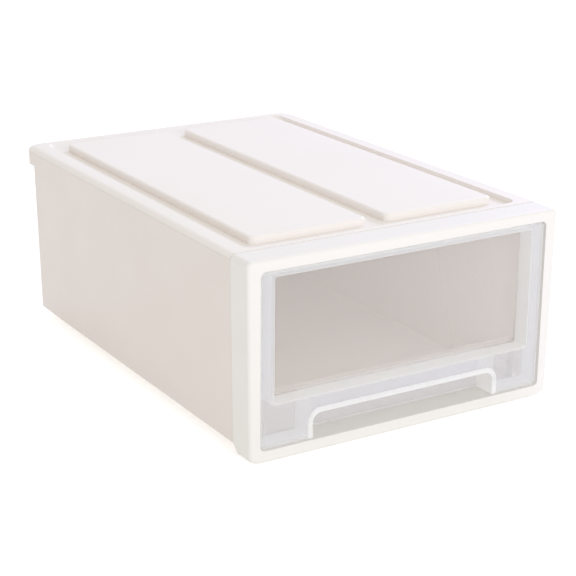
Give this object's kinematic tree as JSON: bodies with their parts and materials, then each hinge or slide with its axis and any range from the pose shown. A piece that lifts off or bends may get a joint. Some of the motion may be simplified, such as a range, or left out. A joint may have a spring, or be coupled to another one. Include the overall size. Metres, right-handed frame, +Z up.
{
  "type": "stackable drawer box",
  "caption": "White moulded storage box with a clear pull-out drawer, a finger opening below the window, and raised panels on top that seat the next box.",
  "frame": {"origin": "middle of the footprint on the rest plane, from the front face to the back of the rear lip", "axes": "+Z up, the drawer opens toward -Y, +X to the right when looking at the front from behind the viewer's eye along +Y"},
  "size_m": [0.2998, 0.424, 0.169],
  "materials": {
    "case_white": "fine satin",
    "frame_white": "satin",
    "cover_white": "fine satin",
    "tub_clear": "clear, slightly milky",
    "front_clear": "clear with a frosted lower zone"
  },
  "bodies": {
    "case": {"case_body": "case_white", "front_frame": "frame_white", "top_cover": "cover_white"},
    "drawer": {"drawer_tub": "tub_clear", "drawer_front": "front_clear"}
  },
  "joints": [
    {"name": "drawer_slide", "type": "slide", "parent": "case", "child": "drawer", "axis": [0, -1, 0], "range_m": [0, 0.325]}
  ]
}
